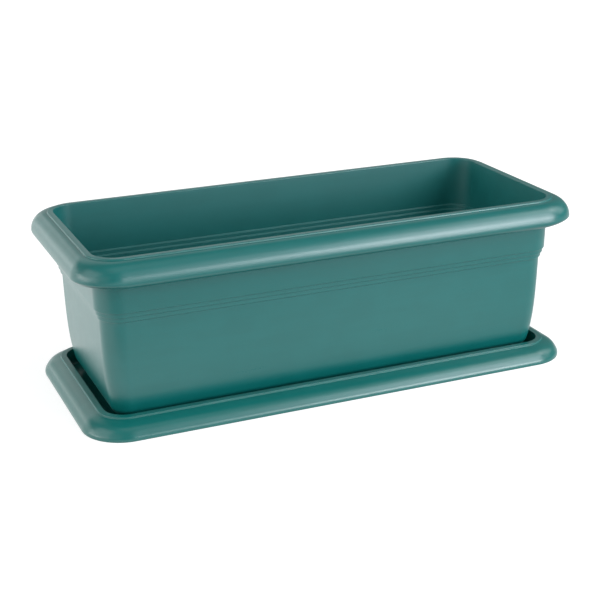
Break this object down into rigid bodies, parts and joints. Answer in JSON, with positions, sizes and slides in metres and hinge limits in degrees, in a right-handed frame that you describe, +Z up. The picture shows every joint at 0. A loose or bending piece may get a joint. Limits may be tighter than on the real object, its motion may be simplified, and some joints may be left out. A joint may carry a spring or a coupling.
{
  "type": "planter trough with saucer",
  "caption": "Long moulded plant trough with a rolled hollow rim, three ledges round its wall and drain holes in its base, standing loose in a matching saucer.",
  "frame": {"origin": "on the ground under the middle of the saucer, at the centre of the bounding box's bottom", "axes": "+X along the trough, +Y across it, +Z up"},
  "size_m": [0.504, 0.2236, 0.1674],
  "materials": {
    "trough_plastic": "satin, dark teal green polypropylene",
    "saucer_plastic": "satin, dark teal green polypropylene"
  },
  "bodies": {
    "saucer": {"saucer": "saucer_plastic"},
    "trough": {"trough": "trough_plastic"}
  },
  "joints": [
    {"name": "trough_lift", "type": "slide", "parent": "saucer", "child": "trough", "axis": [0, 0, 1], "range_m": [0, 0.06]}
  ]
}
